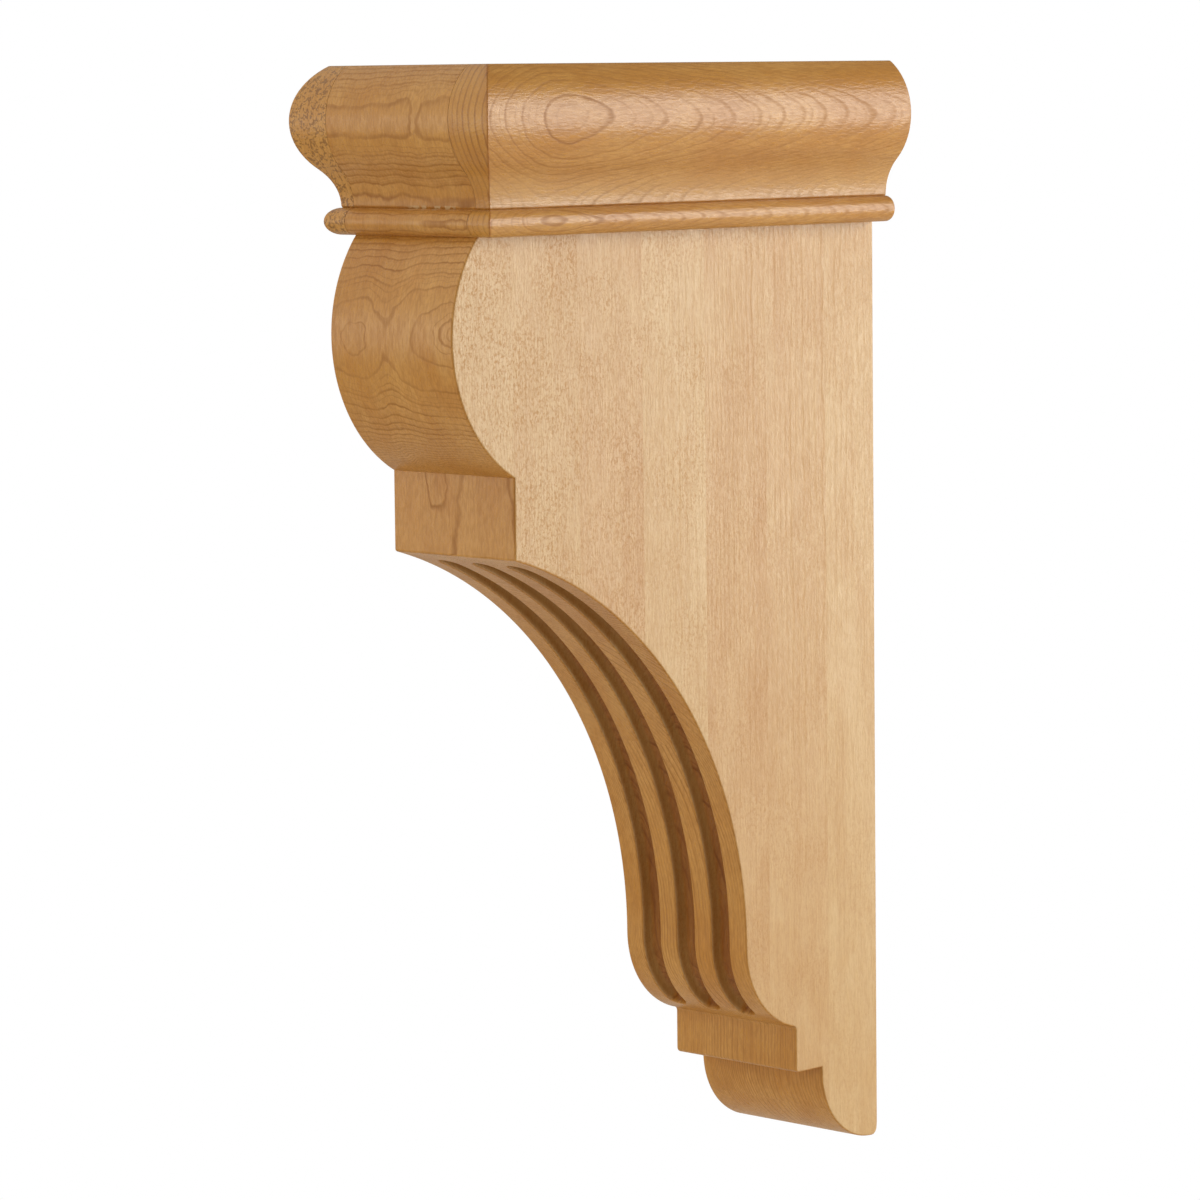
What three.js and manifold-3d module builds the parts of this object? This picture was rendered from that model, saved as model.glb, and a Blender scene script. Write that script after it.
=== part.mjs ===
// A wooden corbel bracket in hard maple, as it is fixed to a wall under a shelf or a mantel.
// One carved body is glued up from upright staves, and a crown moulding goes round its head.
// The body carries the front of the crown. Its sides are two boards, glued to the body's cheeks,
// whose front ends are carved round the corner to the same profile.
// Millimetres, +Z up. The origin is the middle of the flat back that meets the wall,
// the front looks along -Y, and X runs across the bracket.
import * as THREE from "three";
import { mergeVertices } from "three/addons/utils/BufferGeometryUtils.js";
import Module from "manifold-3d";

const INCH = 25.4;

// Overall size.
const HEIGHT = 14 * INCH;
const DEPTH = 7.5 * INCH;
const WIDTH = 3.5 * INCH;

// Body. Depths run forward from the wall, drops run down from the top.
const BODY_WIDTH = 54.5;
const BELLY_DEPTH = 190;
const BELLY_DROP = 83;
const BELLY_RADIUS = 49;
const BLOCK_DEPTH = 164.5;
const BLOCK_FOOT_DROP = 151.4;
const WAIST_DEPTH = 62.9;
const WAIST_DROP = 285;
const BULGE_RADIUS = 29.5;
const STEP_DEPTH = 39.6;
const STEP_FOOT_DROP = 329.1;
const OVOLO_DEPTH = 27.1;
const OVOLO_RADIUS = 24.6;
const HEEL_RADIUS = 2.5;

// Flutes carved down the cove and over the bulge. Flutes and lands share the width evenly.
const FLUTE_COUNT = 3;
const FLUTE_WIDTH = BODY_WIDTH / (2 * FLUTE_COUNT + 1);
const FLUTE_DEPTH = 5.8;
const FLUTE_MARGIN = 10;

// Crown moulding. Overhangs run out from the body's cheeks, drops run down from the top.
const CROWN_NOSE = (WIDTH - BODY_WIDTH) / 2;
const CROWN_NOSE_DROP = 17;
const CROWN_ROUND_RADIUS = 20.6;
const CROWN_COVE_OVERHANG = 6;
const CROWN_COVE_DROP = 43.4;
const BEAD_RADIUS = 4.2;
const BEAD_DROP = 47.9;
const CROWN_DROP = BEAD_DROP + BEAD_RADIUS;
const GLUE_LINE = 0.1;

// How far a cutter or a blank runs past what it cuts.
const CUT_CLEARANCE = 3;

// Facets along each arc of a profile, across a flute's floor, along a flute and round its ends.
// An arc is given two facets for each of its path's divisions.
const ARC_FACETS = 28;
const FLUTE_FLOOR_FACETS = 8;
const FLUTE_STEPS = 60;
const FLUTE_END_SIDES = 16;
const MERGE_DISTANCE = 1e-4;

const MAPLE = 0xcfa06a;
const MAPLE_ROUGHNESS = 0.45;

const halfBody = BODY_WIDTH / 2;
const crownBase = DEPTH - CROWN_NOSE;
const fluteRadius = FLUTE_WIDTH / 2;
const level = (drop) => HEIGHT / 2 - drop;

// A profile drawn as (depth, height) is extruded across the bracket, towards -X.
const across = new THREE.Matrix4().makeBasis(
  new THREE.Vector3(0, -1, 0),
  new THREE.Vector3(0, 0, 1),
  new THREE.Vector3(-1, 0, 0),
);

// A profile drawn as (overhang, height) is extruded from the wall forward, towards -Y.
const forward = new THREE.Matrix4().makeBasis(
  new THREE.Vector3(1, 0, 0),
  new THREE.Vector3(0, 0, 1),
  new THREE.Vector3(0, -1, 0),
);

// The carved face: a long cove, upright at the waist, runs on into the bulge below it.
const coveRun = BLOCK_DEPTH - WAIST_DEPTH;
const coveRise = WAIST_DROP - BLOCK_FOOT_DROP;
const coveRadius = (coveRun ** 2 + coveRise ** 2) / (2 * coveRun);
const cove = {
  depth: WAIST_DEPTH + coveRadius,
  height: level(WAIST_DROP),
  radius: coveRadius,
  start: Math.atan2(coveRise, coveRun - coveRadius),
  end: Math.PI,
};
const bulge = {
  depth: WAIST_DEPTH - BULGE_RADIUS,
  height: level(WAIST_DROP),
  radius: BULGE_RADIUS,
  start: 0,
  end: -Math.acos((STEP_DEPTH - WAIST_DEPTH + BULGE_RADIUS) / BULGE_RADIUS),
};
const arcLength = (arc) => arc.radius * Math.abs(arc.end - arc.start);
const carvedLength = arcLength(cove) + arcLength(bulge);

// The belly comes out from under the middle of the bead.
const bellyCentre = BELLY_DEPTH - BELLY_RADIUS;
const bellyTop = Math.asin((BELLY_DROP - CROWN_DROP) / BELLY_RADIUS);
const beadOverhang = bellyCentre + BELLY_RADIUS * Math.cos(bellyTop) - crownBase;

// The profile of the crown, from the top down, out from the given base:
// a round nose, a cove that runs on under it, and a bead at the foot.
function drawCrown(path, base) {
  const roundOut = CROWN_NOSE - CROWN_ROUND_RADIUS;
  const roundTop = Math.asin(CROWN_NOSE_DROP / CROWN_ROUND_RADIUS);
  const reach = CROWN_COVE_OVERHANG - roundOut;
  const fall = CROWN_COVE_DROP - CROWN_NOSE_DROP;
  const slack = CROWN_ROUND_RADIUS - reach;
  const hollowRadius = (reach ** 2 + fall ** 2 - CROWN_ROUND_RADIUS ** 2) / (2 * slack);
  const hollowOut = CROWN_COVE_OVERHANG + hollowRadius;
  const meeting = Math.atan2(-fall, hollowOut - roundOut);
  const noseHeight = level(CROWN_NOSE_DROP);
  const coveHeight = level(CROWN_COVE_DROP);
  path.absarc(base + roundOut, noseHeight, CROWN_ROUND_RADIUS, roundTop, meeting, true);
  path.absarc(base + hollowOut, coveHeight, hollowRadius, Math.PI + meeting, Math.PI, false);
  path.absarc(base + beadOverhang, level(BEAD_DROP), BEAD_RADIUS, Math.PI / 2, -Math.PI / 2, true);
}

// The crown's section between its profile and a flat back.
function crownSection(base, back) {
  const section = new THREE.Shape();
  section.moveTo(back, level(CROWN_DROP));
  section.lineTo(back, level(0));
  drawCrown(section, base);
  section.closePath();
  return section;
}

// The body's side outline, from the foot of the wall face up it, over the top and down the front.
function bodyOutline() {
  const bellyFoot = -Math.acos((BLOCK_DEPTH - bellyCentre) / BELLY_RADIUS);
  const ovoloCentre = OVOLO_DEPTH - OVOLO_RADIUS;
  const ovoloTop = level(HEIGHT - OVOLO_RADIUS);
  const heelTop = level(HEIGHT - HEEL_RADIUS);
  const down = -Math.PI / 2;
  const outline = new THREE.Shape();
  outline.moveTo(0, heelTop);
  outline.lineTo(0, level(0));
  drawCrown(outline, crownBase);
  outline.absarc(bellyCentre, level(BELLY_DROP), BELLY_RADIUS, bellyTop, bellyFoot, true);
  outline.lineTo(BLOCK_DEPTH, level(BLOCK_FOOT_DROP));
  outline.absarc(cove.depth, cove.height, cove.radius, cove.start, cove.end, false);
  outline.absarc(bulge.depth, bulge.height, bulge.radius, bulge.start, bulge.end, true);
  outline.lineTo(STEP_DEPTH, level(STEP_FOOT_DROP));
  outline.lineTo(OVOLO_DEPTH, level(STEP_FOOT_DROP));
  outline.absarc(ovoloCentre, ovoloTop, OVOLO_RADIUS, 0, down, true);
  outline.absarc(HEEL_RADIUS, heelTop, HEEL_RADIUS, down, -Math.PI, true);
  outline.closePath();
  return outline;
}

// The line that a flute follows down the carved face, at one place across the bracket.
class FluteLine extends THREE.Curve {
  constructor(x) {
    super();
    this.x = x;
    this.from = FLUTE_MARGIN + fluteRadius;
    this.to = carvedLength - FLUTE_MARGIN - fluteRadius;
  }

  getPoint(t, target = new THREE.Vector3()) {
    const run = THREE.MathUtils.lerp(this.from, this.to, t);
    const inCove = run < arcLength(cove);
    const arc = inCove ? cove : bulge;
    const past = inCove ? run : run - arcLength(cove);
    const angle = arc.start + (Math.sign(arc.end - arc.start) * past) / arc.radius;
    const depth = arc.depth + arc.radius * Math.cos(angle);
    return target.set(this.x, -depth, arc.height + arc.radius * Math.sin(angle));
  }
}

// Half of a flute's section: a straight wall over a round floor, carried clear of the face.
function halfFluteSection() {
  const half = new THREE.Path();
  half.moveTo(0, -CUT_CLEARANCE);
  half.lineTo(fluteRadius, -CUT_CLEARANCE);
  half.absarc(0, FLUTE_DEPTH - fluteRadius, fluteRadius, 0, Math.PI / 2, false);
  return half.getPoints(FLUTE_FLOOR_FACETS / 4);
}

// The round end of a flute: its half section turned about a line square to the face.
function fluteEnd(line, t) {
  const along = line.getTangent(t);
  const aside = new THREE.Vector3(1, 0, 0);
  const inward = new THREE.Vector3().crossVectors(aside, along);
  const place = new THREE.Matrix4().makeBasis(aside, inward, along.negate());
  place.setPosition(line.getPoint(t));
  return new THREE.LatheGeometry(halfFluteSection(), FLUTE_END_SIDES).applyMatrix4(place);
}

// A profile extruded by a length, still lying in its own plane.
function extruded(profile, length) {
  return new THREE.ExtrudeGeometry(profile, {
    depth: length,
    bevelEnabled: false,
    curveSegments: ARC_FACETS / 2,
  });
}

const wasm = await Module();
wasm.setup();

// A closed geometry as a solid that can be cut and joined.
function solid(geometry) {
  geometry.deleteAttribute("normal");
  geometry.deleteAttribute("uv");
  const merged = mergeVertices(geometry, MERGE_DISTANCE);
  const vertProperties = merged.getAttribute("position").array;
  const triVerts = new Uint32Array(merged.index.array);
  return new wasm.Manifold(new wasm.Mesh({ numProp: 3, vertProperties, triVerts }));
}

// A cut solid as a geometry again.
function surface(shape) {
  const { vertProperties, triVerts } = shape.getMesh();
  const geometry = new THREE.BufferGeometry();
  geometry.setAttribute("position", new THREE.BufferAttribute(vertProperties, 3));
  geometry.setIndex(new THREE.BufferAttribute(triVerts, 1));
  return geometry.toNonIndexed();
}

// One flute as a solid to take out of the body: a swept trough with a round end at each end.
function flute(x) {
  const line = new FluteLine(x);
  const half = halfFluteSection();
  const otherHalf = half.slice(1, -1).map((point) => new THREE.Vector2(-point.x, point.y));
  const section = new THREE.Shape([...half.slice(1), ...otherHalf.reverse()]);
  const trough = new THREE.ExtrudeGeometry(section, { extrudePath: line, steps: FLUTE_STEPS });
  return solid(trough).add(solid(fluteEnd(line, 0))).add(solid(fluteEnd(line, 1)));
}

// The body: its outline sawn through the full width, then fluted.
function bodyGeometry() {
  const blank = extruded(bodyOutline(), BODY_WIDTH).applyMatrix4(across);
  let shape = solid(blank.translate(halfBody, 0, 0));
  for (let i = 0; i < FLUTE_COUNT; i += 1) {
    const x = (2 * i + 1 - FLUTE_COUNT) * FLUTE_WIDTH;
    shape = shape.subtract(flute(x));
  }
  return surface(shape);
}

// A side board of the crown, out along +X from the body's cheek and square at the wall.
// It is the side's profile run forward, cut off at the front by the front's profile run across.
function crownBoard() {
  const run = extruded(crownSection(0, GLUE_LINE), DEPTH + CUT_CLEARANCE).applyMatrix4(forward);
  const reach = CROWN_NOSE + CUT_CLEARANCE;
  const front = extruded(crownSection(crownBase, -CUT_CLEARANCE), reach).applyMatrix4(across);
  return solid(run).intersect(solid(front.translate(reach, 0, 0)));
}

function mapleMesh(name, geometry) {
  geometry.computeVertexNormals();
  const material = new THREE.MeshStandardMaterial({
    color: MAPLE,
    roughness: MAPLE_ROUGHNESS,
    metalness: 0,
  });
  const mesh = new THREE.Mesh(geometry, material);
  mesh.name = name;
  return mesh;
}

const bracket = new THREE.Group();
bracket.add(mapleMesh("corbel_body", bodyGeometry()));

const board = crownBoard();
const crownRight = mapleMesh("crown_right", surface(board));
crownRight.position.x = halfBody;
bracket.add(crownRight);

const crownLeft = mapleMesh("crown_left", surface(board.mirror([1, 0, 0])));
crownLeft.position.x = -halfBody;
bracket.add(crownLeft);

export default bracket;
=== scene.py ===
"""The looks of a wooden corbel bracket in hard maple.

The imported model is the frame, and each piece here is modelled over the solid that it stands for.
Metres, +Z up. The wall is the plane y = 0, the front looks along -Y and X runs across the bracket.
"""
import math
from collections import namedtuple

import bmesh
import bpy
from bpy.props import FloatProperty, FloatVectorProperty, IntProperty, PointerProperty
from mathutils import Matrix, Vector


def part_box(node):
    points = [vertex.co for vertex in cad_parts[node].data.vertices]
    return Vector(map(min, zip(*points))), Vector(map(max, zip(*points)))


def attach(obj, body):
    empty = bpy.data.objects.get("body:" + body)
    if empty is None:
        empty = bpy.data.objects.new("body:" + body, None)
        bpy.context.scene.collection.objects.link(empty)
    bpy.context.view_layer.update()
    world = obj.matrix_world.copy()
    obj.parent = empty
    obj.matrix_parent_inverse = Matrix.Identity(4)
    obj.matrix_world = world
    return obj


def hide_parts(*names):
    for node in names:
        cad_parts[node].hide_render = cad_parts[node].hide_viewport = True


bl_info = {
    "name": "Corbel bracket",
    "version": (1, 0, 0),
    "blender": (4, 5, 0),
    "location": "View3D > Sidebar > Corbel",
    "description": "Models a fluted maple corbel with a crown moulding, and a plain studio for it",
    "category": "Object",
}

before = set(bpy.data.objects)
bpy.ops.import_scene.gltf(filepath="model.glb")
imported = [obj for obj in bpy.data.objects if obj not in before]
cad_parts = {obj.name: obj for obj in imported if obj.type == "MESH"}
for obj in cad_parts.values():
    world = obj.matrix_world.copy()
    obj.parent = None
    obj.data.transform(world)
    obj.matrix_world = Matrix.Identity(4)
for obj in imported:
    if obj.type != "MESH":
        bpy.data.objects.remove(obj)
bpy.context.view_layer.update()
BODY_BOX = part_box("corbel_body")
BOARD_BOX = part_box("crown_right")

BODY = "root"
QUARTER = math.pi / 2
VERT, EDGE = bmesh.types.BMVert, bmesh.types.BMEdge

# The longest facet of a round, the angle past which an edge shades sharp, the angle under which two faces
# are one, and what counts as touching.
FACET = 0.0015
SHARP_ANGLE = math.radians(38)
FLAT_ANGLE = math.radians(0.3)
TOUCH = 1e-5

# How far a flute's cutter runs past the face, how far its lip turns, and the steps round its end.
CUT_CLEARANCE = 0.003
LIP_TURN = math.radians(75)
END_STEPS = 24

# The share of the full rounding at glued edges, and at the plain ones: a board's, the wall's, the top's.
GLUED_EASING = 0.1
PLAIN_EASING = 0.5

# How fast the rings crowd together below the bark side, the width of a ring's line, and the least slope
# of the surface that it is drawn for.
RING_CROWDING = 20000.0
RING_LINE = 0.0012
LEAST_TILT = 0.38

# The marks of the grain: the stretch of each along it, less being longer, the scale, detail, roughness and
# distortion of its noise, and the range that it comes in over. Flecks are rays, a crowd is where they are
# many, and specks are the open ends of vessels.
GRAIN_MARKS = {
    "Streak": (0.05, 640.0, 3.0, 0.65, 0.0, 0.30, 0.70),
    "Band": (0.07, 190.0, 3.0, 0.55, 0.0, 0.34, 0.68),
    "Dash": (0.22, 1250.0, 2.0, 0.60, 0.0, 0.36, 0.66),
    "Fleck": (0.75, 1220.0, 2.0, 0.60, 0.6, 0.42, 0.68),
    "Crowd": (1.00, 38.0, 2.0, 0.50, 0.0, 0.36, 0.62),
    "Speck": (1.00, 760.0, 1.0, 0.50, 1.2, 0.49, 0.61),
    "Tone": (0.45, 55.0, 4.0, 0.60, 0.5, 0.32, 0.68),
}
FEWEST_FLECKS = 0.35

# How strongly each mark shows on the flat-sawn faces, the cheeks and the ends, and how deep the grain is.
FINE_RING = 0.6
FLAT = {"season": 0.25, "band": 0.12, "streak": 0.15, "dash": 0.30}
CHEEK = {"crowd": 0.5, "fleck": 0.64, "band": 0.13, "ring": 0.10, "streak": 0.09, "dash": 0.13}
END_SAP = 0.6
END_RING = 1.2
GRAIN_RELIEF = 0.0001

# The swells that draw the front's figure: the face, how far across and up each lies on it, how far it
# reaches across and up, and its height. Then how far all reach into the wood, and how far they wander.
SWELLS = (
    ("belly", 0.0200, 0.0, 0.0450, 0.0400, -0.0031),  # the slope from side to side
    ("belly", -0.0023, 0.0, 0.0070, 0.0360, 0.0019),  # the saddle
    ("belly", -0.0168, 0.0, 0.0068, 0.0072, -0.0032),  # the left eye
    ("belly", 0.0285, 0.0028, 0.0120, 0.0090, -0.0040),  # the right-hand loops
    ("nose", 0.0120, 0.0, 0.0030, 0.0060, 0.0008),  # the gap between two lines
    ("nose", 0.0200, 0.012, 0.0200, 0.0060, -0.0015),  # the slope beside it
    ("block", -0.0075, 0.0258, 0.0035, 0.0087, 0.0030),  # the loop
    ("block", 0.0146, 0.0, 0.0105, 0.0340, 0.0030),  # the wavy line
)
SWELL_DEPTH = 0.02
WANDER = 0.006

# The staves, counted from the wall: from which to which the bark side turns, and from what angle to what.
# Their shades and rings go by a step and a start. The shades even out between two drops, and off the
# cheeks.
STAVE_TURN = (0.2, 3.95, -1.25, 0.0)
STAVE_SHADE = (2.4, 3.25)
STAVE_PHASE = (0.26, -1.29)
STAVE_SEED = 7.3
EVEN_DROPS = (0.13, 0.06)
EVEN_TOP = 0.6
EVEN_FRONT = 0.9

# Where the chips over the front bead are, across the bracket, and how far they spread.
CHIPS_PLACE = 0.008
CHIPS_REACH = 0.014

# The eye in the figure of a crown board: how far it lies behind the front, how round it is, how fast the
# rings rise to both sides of it, and how much faster they rise towards the front. They fade from the eye
# to the wall.
EYE_PLACE = 0.031
EYE_ROUND = 0.008
EYE_RISE = 0.21
EYE_LEAN = -0.09
EYE_FADE = 0.13

# The drops over which a painted sheen lightens the lower cove of the crown boards, and how strong it is at
# the cove's foot.
COVE_SHEEN_DROPS = (0.042, 0.029)
COVE_SHEEN = 0.3

# Where the two lights stand, seen from the bracket, how far off they are, and their width and height.
KEY_SIDE = (0.70, 0.71, 0.20)
KEY_DISTANCE = 1.9
KEY_SIZE = (1.3, 1.4)
FILL_SIDE = (-0.64, -0.76, 0.04)
FILL_DISTANCE = 1.6
FILL_SIZE = (1.2, 0.5)
FLOOR_RADIUS = 40.0

# How far from the fill's side the sky is dim, and how near to it the sky is bright, by cosine.
SKY_TURN = (-0.35, 0.75)

# The camera's place, its yaw, pitch and roll in degrees, and how far it sees.
CAMERA_PLACE = (1.1228, -1.2259, 0.1735)
CAMERA_TURN = (44.941, -5.961, -0.635)
FAR = 200.0


def length(name, default, description):
    """A size in metres that a user can change."""
    return FloatProperty(name=name, description=description, default=default, unit="LENGTH", precision=5)


def amount(name, default, description):
    """A plain number that a user can change."""
    return FloatProperty(name=name, description=description, default=default, precision=4)


def tint(name, default, description):
    """A colour that a user can change."""
    return FloatVectorProperty(
        name=name, description=description, default=default, subtype="COLOR", size=3, min=0.0, max=1.0
    )


class BodySizes(bpy.types.PropertyGroup):
    """Sizes of the carved body. Depths run forward from the wall, drops run down from the top."""

    height: length("Height", BODY_BOX[1].z - BODY_BOX[0].z, "From the top to the foot")
    depth: length("Depth", -BODY_BOX[0].y, "From the wall to the nose of the crown")
    width: length("Width", BODY_BOX[1].x - BODY_BOX[0].x, "From cheek to cheek")
    belly_depth: length("Belly depth", 0.190, "The furthest that the belly stands out")
    belly_drop: length("Belly drop", 0.083, "Drop to the fullest line of the belly")
    belly_radius: length("Belly radius", 0.049, "Radius of the belly")
    block_depth: length("Block depth", 0.1645, "Depth of the upright face under the belly")
    block_foot: length("Block foot", 0.1514, "Drop to the lower arris of the block")
    waist_depth: length("Waist depth", 0.0629, "Depth where the cove turns upright")
    waist_drop: length("Waist drop", 0.285, "Drop to where the cove turns upright")
    bulge_radius: length("Bulge radius", 0.0295, "Radius of the bulge under the waist")
    step_depth: length("Step depth", 0.0396, "Depth of the small step under the bulge")
    step_foot: length("Step foot", 0.3291, "Drop to the lower arris of the step")
    step_round: length("Step rounding", 0.0016, "Radius of the step's arris and of the corner over it")
    ovolo_depth: length("Quarter-round depth", 0.0271, "Depth of the quarter-round foot")
    ovolo_radius: length("Quarter-round radius", 0.0246, "Radius of the quarter-round foot")
    heel_radius: length("Heel radius", 0.0025, "Radius of the bottom corner at the wall")
    arris: length("Arris", 0.0007, "How far the sanded edges are rounded off")
    flutes: IntProperty(name="Flutes", description="Flutes and lands share the width", default=3, min=1)
    flute_depth: length("Flute depth", 0.0058, "Depth of a flute below the face")
    flute_margin: length("Flute margin", 0.010, "Plain length of face past each end of a flute")
    flute_lip: length("Flute lip", 0.0006, "How far the edges of a flute are rounded off")


class CrownSizes(bpy.types.PropertyGroup):
    """Sizes of the crown. Overhangs run out from the body's cheeks, drops run down from the top."""

    nose: length("Nose", BOARD_BOX[1].x - BODY_BOX[1].x, "Overhang of the nose")
    nose_drop: length("Nose drop", 0.017, "Drop to the fullest line of the nose")
    round_radius: length("Nose radius", 0.0206, "Radius of the nose")
    cove_overhang: length("Cove overhang", 0.006, "Overhang at the foot of the cove")
    cove_drop: length("Cove drop", 0.0434, "Drop to the foot of the cove")
    bead_radius: length("Bead radius", 0.0042, "Radius of the bead")
    bead_drop: length("Bead drop", 0.0479, "Drop to the middle of the bead")
    glue_line: length("Glue line", 0.0001, "Gap between the body and a side board")


class MapleFinish(bpy.types.PropertyGroup):
    """Colours and figure of the maple."""

    heart: tint("Heart", (0.575, 0.257, 0.046), "Main colour of the flat-sawn wood")
    sap: tint("Sap", (0.680, 0.352, 0.090), "Colour of its paler stretches")
    line: tint("Ring line", (0.310, 0.112, 0.010), "Colour of a ring's late wood")
    quarter: tint("Quarter face", (0.560, 0.342, 0.136), "Colour of the cheeks, seen on the quarter")
    # Also the colour that the chips and the painted sheen on the boards' lower cove turn towards.
    pale: tint("Pale quarter face", (0.630, 0.430, 0.206), "Colour of the paler stretches of the cheeks")
    fleck: tint("Fleck", (0.430, 0.195, 0.036), "Colour of the flecks on the cheeks")
    end: tint("End grain", (0.285, 0.125, 0.014), "Colour of open end grain")
    dark_stave: tint("Dark stave", (0.93, 0.845, 0.755), "Cast of the darker staves")
    light_stave: tint("Light stave", (1.0, 1.0, 1.0), "Cast of the lighter staves")
    board: tint("Crown boards", (0.87, 0.87, 0.81), "Cast of the crown's side boards")
    board_end: tint("Crown board ends", (0.87, 0.80, 0.56), "Cast of the end grain of those boards")
    # The colour that painted shade darkens towards, in the flutes, over the bead and at the boards' front
    # corners.
    flute: tint("Flute", (0.72, 0.585, 0.38), "Cast of the finish in flutes and creases")
    stave: length("Stave", 0.0282, "Thickness of a stave of the glue-up")
    first_stave: length("First stave", 0.0236, "Thickness of the stave at the wall")
    gloss: amount("Gloss", 0.32, "Roughness of the satin finish")


class StudioSettings(bpy.types.PropertyGroup):
    """The plain studio and its camera."""

    floor: tint("Floor", (0.78, 0.73, 0.65), "Colour of the floor")
    floor_drop: length("Floor drop", 0.45, "How far the floor lies under the bracket")
    key: amount("Key light", 34.3, "Power of the light at the back right, in watts")
    fill: amount("Fill light", 2.8, "Power of the light at the front left, in watts")
    bright_sky: amount("Bright sky", 1.02, "Strength of the light from the front left")
    dim_sky: amount("Dim sky", 0.25, "Strength of the light from the back right")
    lens: amount("Lens", 150.27, "Focal length for a 36 mm film, in millimetres")


class CorbelSettings(bpy.types.PropertyGroup):
    """Everything about the bracket that a user would change."""

    body: PointerProperty(type=BodySizes)
    crown: PointerProperty(type=CrownSizes)
    maple: PointerProperty(type=MapleFinish)
    studio: PointerProperty(type=StudioSettings)


class Pen:
    """Draws a profile in a mesh by lines and arcs, from vertex to vertex.

    place turns (out, drop) into a point, and axis is the line that anticlockwise arcs turn about.
    """

    def __init__(self, bm, place, axis, start):
        self.bm = bm
        self.place = place
        self.axis = axis
        self.first = bmesh.ops.create_vert(bm, co=place(*start))["vert"][0]
        self.vert = self.first

    def line(self, out, drop):
        new = bmesh.ops.extrude_vert_indiv(self.bm, verts=[self.vert])["verts"][0]
        bmesh.ops.translate(self.bm, verts=[new], vec=self.place(out, drop) - new.co)
        self.vert = new

    def arc(self, out, drop, turn, facet=FACET):
        centre = self.place(out, drop)
        steps = max(3, math.ceil((self.vert.co - centre).length * abs(turn) / facet))
        self.vert = sweep(self.bm, [self.vert], centre, self.axis, turn, steps, VERT)[0]

    def close(self):
        """Joins the last vertex to the first and fills the outline with a face."""
        bmesh.ops.contextual_create(self.bm, geom=[self.vert, self.first])
        return bmesh.ops.contextual_create(self.bm, geom=self.bm.edges[:])["faces"][0]


def only(geometry, kind):
    """The vertices, edges or faces in what an operator gives back."""
    return [part for part in geometry if isinstance(part, kind)]


def sweep(bm, geometry, centre, axis, turn, steps, kind):
    """Turns geometry about an axis, drawing as it goes, and gives back where it ends."""
    spun = bmesh.ops.spin(bm, geom=geometry, cent=centre, axis=axis, angle=turn, steps=steps)
    return only(spun["geom_last"], kind)


def level(drop):
    """The height of a point that lies a drop below the top."""
    return BODY_BOX[1].z - drop


def at_depth(x):
    """Places (depth, drop) in the upright plane at x."""
    return lambda depth, drop: Vector((x, -depth, level(drop)))


def from_cheek(out, drop):
    """Places (overhang, drop) at the wall end of the right-hand board."""
    return Vector((BODY_BOX[1].x + out, 0, level(drop)))


def bead_overhang(body, crown):
    """The belly comes out from under the middle of the bead."""
    rise = body.belly_drop - crown.bead_drop - crown.bead_radius
    belly = body.belly_depth - body.belly_radius + math.sqrt(body.belly_radius**2 - rise**2)
    return belly - crown_base(body, crown)


def crown_base(body, crown):
    """The depth that the front of the crown overhangs from."""
    return body.depth - crown.nose


def crown_top(crown):
    """How far the flat top runs out over the cheek."""
    return crown.nose - crown.round_radius + math.sqrt(crown.round_radius**2 - crown.nose_drop**2)


def draw_crown(pen, base, body, crown):
    """The crown's profile, from the top down: a nose, a cove that runs on under it, and a bead."""
    nose_centre = crown.nose - crown.round_radius
    reach = crown.cove_overhang - nose_centre
    fall = crown.cove_drop - crown.nose_drop
    slack = crown.round_radius - reach
    hollow = (reach**2 + fall**2 - crown.round_radius**2) / (2 * slack)
    meeting = math.atan2(-fall, crown.cove_overhang + hollow - nose_centre)
    bead = base + bead_overhang(body, crown)
    start = math.asin(crown.nose_drop / crown.round_radius)
    pen.arc(base + nose_centre, crown.nose_drop, meeting - start)
    pen.arc(base + crown.cove_overhang + hollow, crown.cove_drop, -meeting)
    pen.line(bead, crown.bead_drop - crown.bead_radius)
    pen.arc(bead, crown.bead_drop, -math.pi, FACET / 2)


def cove_arc(body):
    """Radius of the long cove, and the angle that it turns through up to the block."""
    run = body.block_depth - body.waist_depth
    rise = body.waist_drop - body.block_foot
    radius = (run**2 + rise**2) / (2 * run)
    return radius, math.pi - math.atan2(rise, run - radius)


def bulge_turn(body):
    """The angle that the bulge turns through from the waist to the step."""
    return math.acos((body.step_depth - body.waist_depth + body.bulge_radius) / body.bulge_radius)


def corner_over_step(body):
    """Depth and drop of the middle of the small hollow between the bulge and the step, and its turn."""
    apart = body.bulge_radius + body.step_round
    depth = body.step_depth + body.step_round
    ahead = depth - body.waist_depth + body.bulge_radius
    return depth, body.waist_drop + math.sqrt(apart**2 - ahead**2), math.acos(ahead / apart)


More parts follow.
